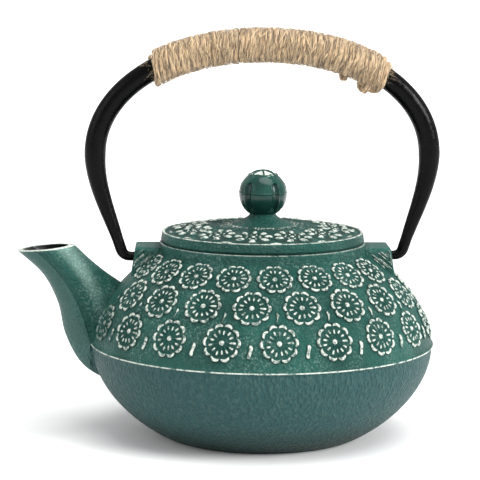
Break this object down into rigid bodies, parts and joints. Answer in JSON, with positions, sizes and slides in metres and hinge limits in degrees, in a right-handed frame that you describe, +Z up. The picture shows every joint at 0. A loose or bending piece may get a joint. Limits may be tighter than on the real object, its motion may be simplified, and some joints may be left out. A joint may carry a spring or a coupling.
{
  "type": "cast iron teapot",
  "caption": "Round cast iron teapot with blossom relief, lift-off lid with ball knob, drop-in tea infuser and a swinging bail handle wrapped in twine.",
  "frame": {"origin": "middle of the pot's flat foot, on the surface that it stands on", "axes": "+Z up along the pot's axis; the spout points along -X; the handle swings about an axis along X; +Y is across"},
  "size_m": [0.204, 0.1652, 0.1968],
  "materials": {
    "enamelled_iron": "satin green paint over sand-cast iron, raised pattern rubbed with white, black enamel inside",
    "knob_iron": "glossier dark green paint over cast iron",
    "black_iron": "satin black lacquer",
    "natural_twine": "dry natural fibre twine, wound side by side",
    "stainless_steel": "brushed",
    "stainless_mesh": "woven wire mesh"
  },
  "bodies": {
    "pot": {"pot_body": "enamelled_iron"},
    "infuser": {"infuser_rim": "stainless_steel", "infuser_wall": "stainless_mesh", "infuser_bottom": "stainless_mesh", "infuser_band": "stainless_steel"},
    "lid": {"lid": "enamelled_iron", "lid_knob": "knob_iron", "knob_screw": "stainless_steel", "knob_washer": "stainless_steel"},
    "handle": {"handle_bail": "black_iron", "twine_wrap": "natural_twine"}
  },
  "joints": [
    {"name": "infuser_lift", "type": "slide", "parent": "pot", "child": "infuser", "axis": [0, 0, 1], "range_m": [0, 0.048]},
    {"name": "lid_lift", "type": "slide", "parent": "infuser", "child": "lid", "axis": [0, 0, 1], "range_m": [0, 0.048]},
    {"name": "handle_swing", "type": "hinge", "parent": "pot", "child": "handle", "pos_m": [0, 0, 0.087], "axis": [1, 0, 0], "range_deg": [-115, 115]}
  ]
}
